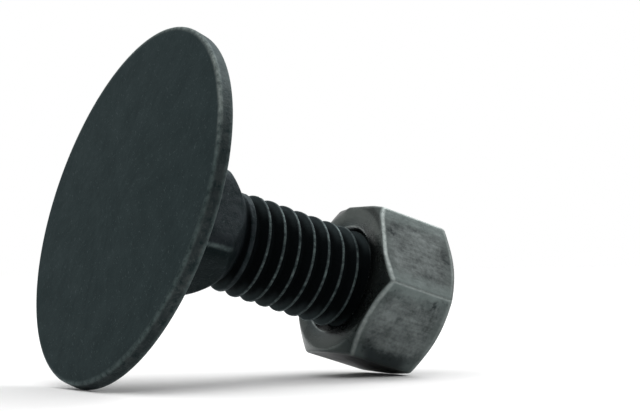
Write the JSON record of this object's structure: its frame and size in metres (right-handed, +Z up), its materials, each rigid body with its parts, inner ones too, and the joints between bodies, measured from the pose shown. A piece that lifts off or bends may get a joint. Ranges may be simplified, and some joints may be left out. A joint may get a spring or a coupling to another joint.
{
  "type": "elevator bolt",
  "caption": "Elevator bolt lying at rest: a wide thin flat head, a square neck and a right-hand threaded shank in one forging, with a hex nut run on flush with the tip.",
  "frame": {"origin": "middle of the whole part's length and width, on the surface that it lies on", "axes": "+X level, from the head towards the nut; +Z up; the bolt's own axis lies in the XZ plane and points along +X and 17.2 degrees down"},
  "size_m": [0.037, 0.0328, 0.0316],
  "materials": {
    "bolt_steel": "black oxide, satin, worn bright on the rim and the thread's crests",
    "nut_steel": "black oxide worn to mottled grey steel, bright on its edges"
  },
  "bodies": {
    "bolt": {"bolt": "bolt_steel"},
    "nut": {"hex_nut": "nut_steel"}
  },
  "joints": [
    {"name": "nut_travel", "type": "slide", "parent": "bolt", "child": "nut", "axis": [0.9552, 0, -0.2958], "range_m": [-0.01111, 0]}
  ]
}
